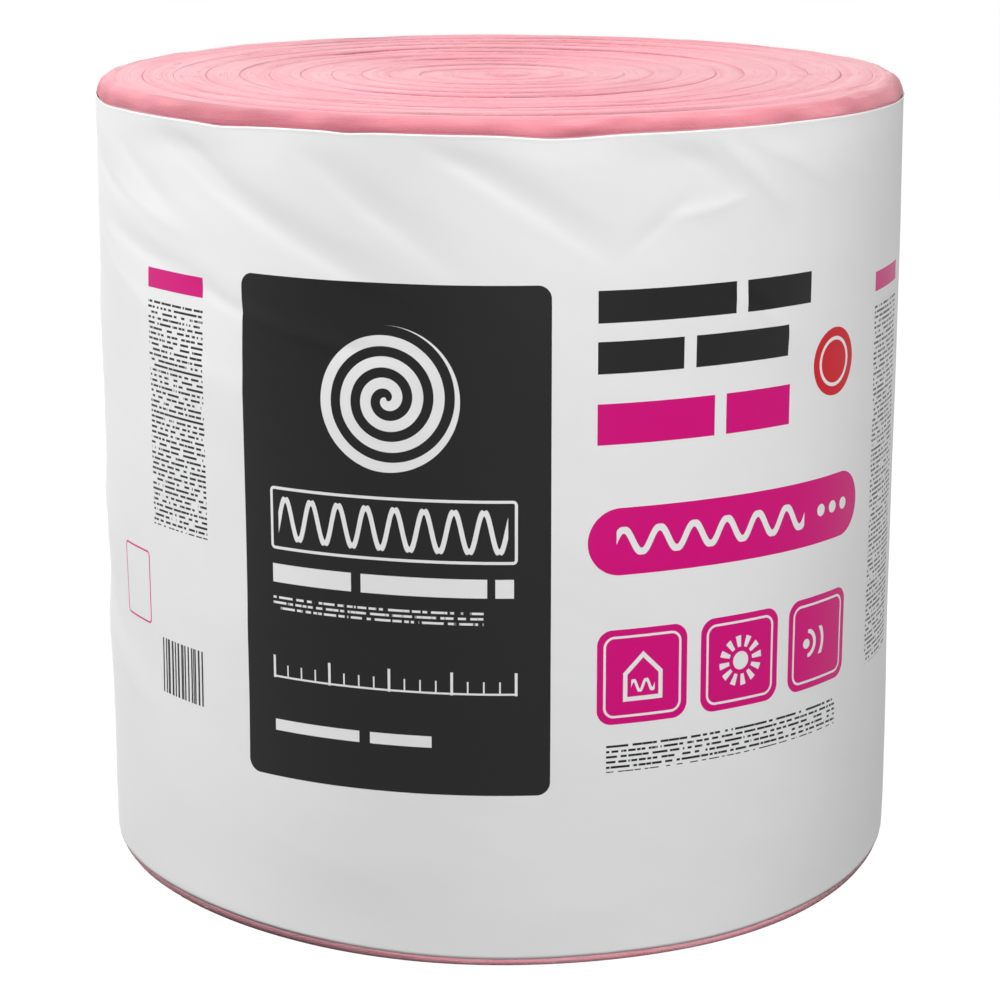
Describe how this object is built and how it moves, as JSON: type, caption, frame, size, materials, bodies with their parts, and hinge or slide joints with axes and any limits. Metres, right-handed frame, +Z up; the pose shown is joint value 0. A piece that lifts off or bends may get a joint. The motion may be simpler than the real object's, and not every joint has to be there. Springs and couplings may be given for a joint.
{
  "type": "fiberglass insulation roll",
  "caption": "Unfaced glass wool insulation batt wound into a roll, its spiral turns bare at both ends, in a white packing film sleeve.",
  "frame": {"origin": "middle of the roll's foot, on the floor it stands on", "axes": "+Z up along the roll's axis, -Y towards the printed front of the sleeve"},
  "size_m": [0.382, 0.382, 0.381],
  "materials": {
    "glass_wool": "pink glass wool, fibrous and fully matt",
    "packing_film": "satin white polyethylene film with plain printed panels in black and magenta"
  },
  "bodies": {
    "root": {"wool_roll": "glass_wool", "film_sleeve": "packing_film"}
  },
  "joints": []
}
